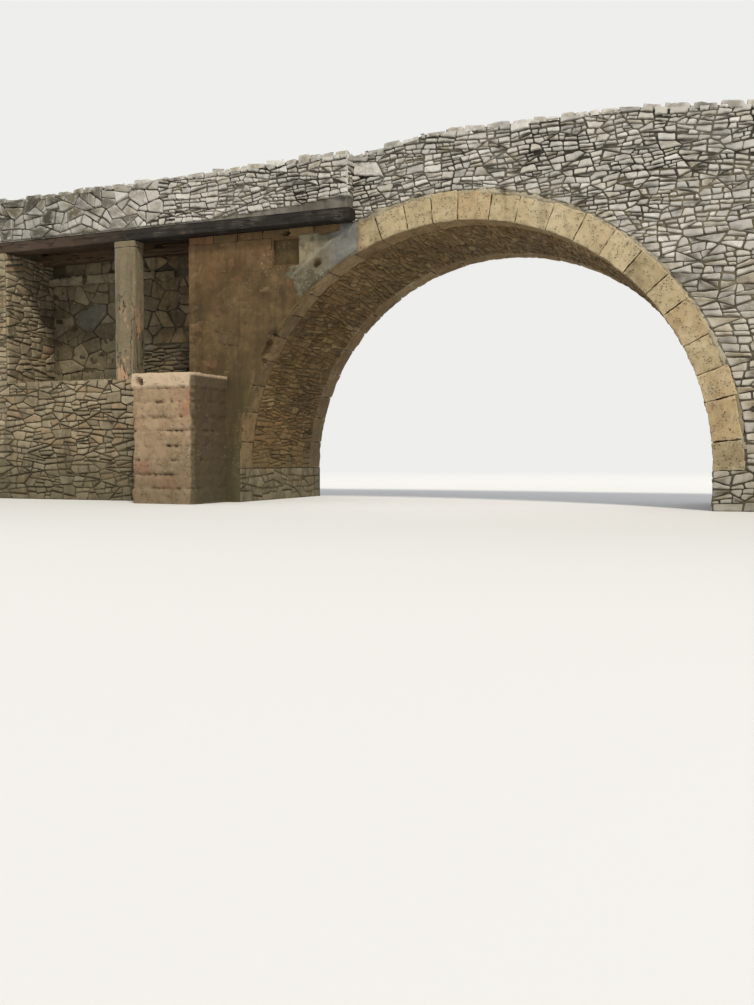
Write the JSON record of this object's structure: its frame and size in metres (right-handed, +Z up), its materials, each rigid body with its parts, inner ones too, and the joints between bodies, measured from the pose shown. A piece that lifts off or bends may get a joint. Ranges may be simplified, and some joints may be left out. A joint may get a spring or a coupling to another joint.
{
  "type": "stone arch bridge",
  "caption": "Small masonry arch bridge: half-round rubble vault between wedge-stone rings, rubble parapets, and a recessed bay where timber beams and a post carry the road edge.",
  "frame": {"origin": "on the ground under the middle of the arch, half way between the outermost faces, upstream and downstream", "axes": "+X along the road, to the right as seen from downstream; +Y upstream, away from the picture's camera; +Z up"},
  "size_m": [20, 4.475, 6.01],
  "materials": {
    "abutment_masonry": "weathered ochre masonry with remains of render, matt",
    "vault_rubble": "thin rubble stones in brown mortar, matt",
    "ring_stone": "pitted golden sandstone, matt",
    "core_rubble": "rubble and mortar core, matt",
    "wall_rubble": "coursed rubble, matt",
    "bay_stone": "large irregular stones with sunk joints, matt",
    "parapet_stone": "pale limestone rubble, matt",
    "pedestal_stone": "worn pinkish masonry in courses, matt",
    "post_render": "cracked beige render over masonry, matt",
    "mortar": "grey lime mortar, matt",
    "old_timber": "dark weathered timber, matt",
    "road_earth": "trodden gravel and earth, matt"
  },
  "bodies": {
    "root": {"footing_left": "abutment_masonry", "footing_right": "abutment_masonry", "vault_left_haunch": "vault_rubble", "vault_left_shoulder": "vault_rubble", "vault_crown": "vault_rubble", "vault_right_shoulder": "vault_rubble", "vault_right_haunch": "vault_rubble", "ring_left_downstream": "ring_stone", "ring_right_downstream": "ring_stone", "ring_left_upstream": "ring_stone", "ring_right_upstream": "ring_stone", "crown_stones": "ring_stone", "ring_mortar": "mortar", "spandrel_left_downstream": "abutment_masonry", "spandrel_right_downstream": "abutment_masonry", "spandrel_left_upstream": "abutment_masonry", "spandrel_right_upstream": "abutment_masonry", "bearing_course": "ring_stone", "haunch_core_left": "core_rubble", "haunch_core_right": "core_rubble", "approach_core_left": "core_rubble", "approach_core_right": "core_rubble", "approach_wall_left_upstream": "wall_rubble", "approach_wall_right_downstream": "wall_rubble", "approach_wall_right_upstream": "wall_rubble", "end_wall_left": "wall_rubble", "end_wall_right": "wall_rubble", "bay_back_wall": "bay_stone", "bay_end_pier": "wall_rubble", "bay_base": "bay_stone", "bay_ledge": "bay_stone", "post": "post_render", "post_cap": "post_render", "beam_front": "old_timber", "beam_rear": "old_timber", "deck_boards": "old_timber", "mortar_bed": "mortar", "parapet_left_downstream": "parapet_stone", "parapet_centre_downstream": "parapet_stone", "parapet_right_downstream": "parapet_stone", "parapet_left_upstream": "parapet_stone", "parapet_centre_upstream": "parapet_stone", "parapet_right_upstream": "parapet_stone", "road_surface": "road_earth", "pedestal": "pedestal_stone"}
  },
  "joints": []
}
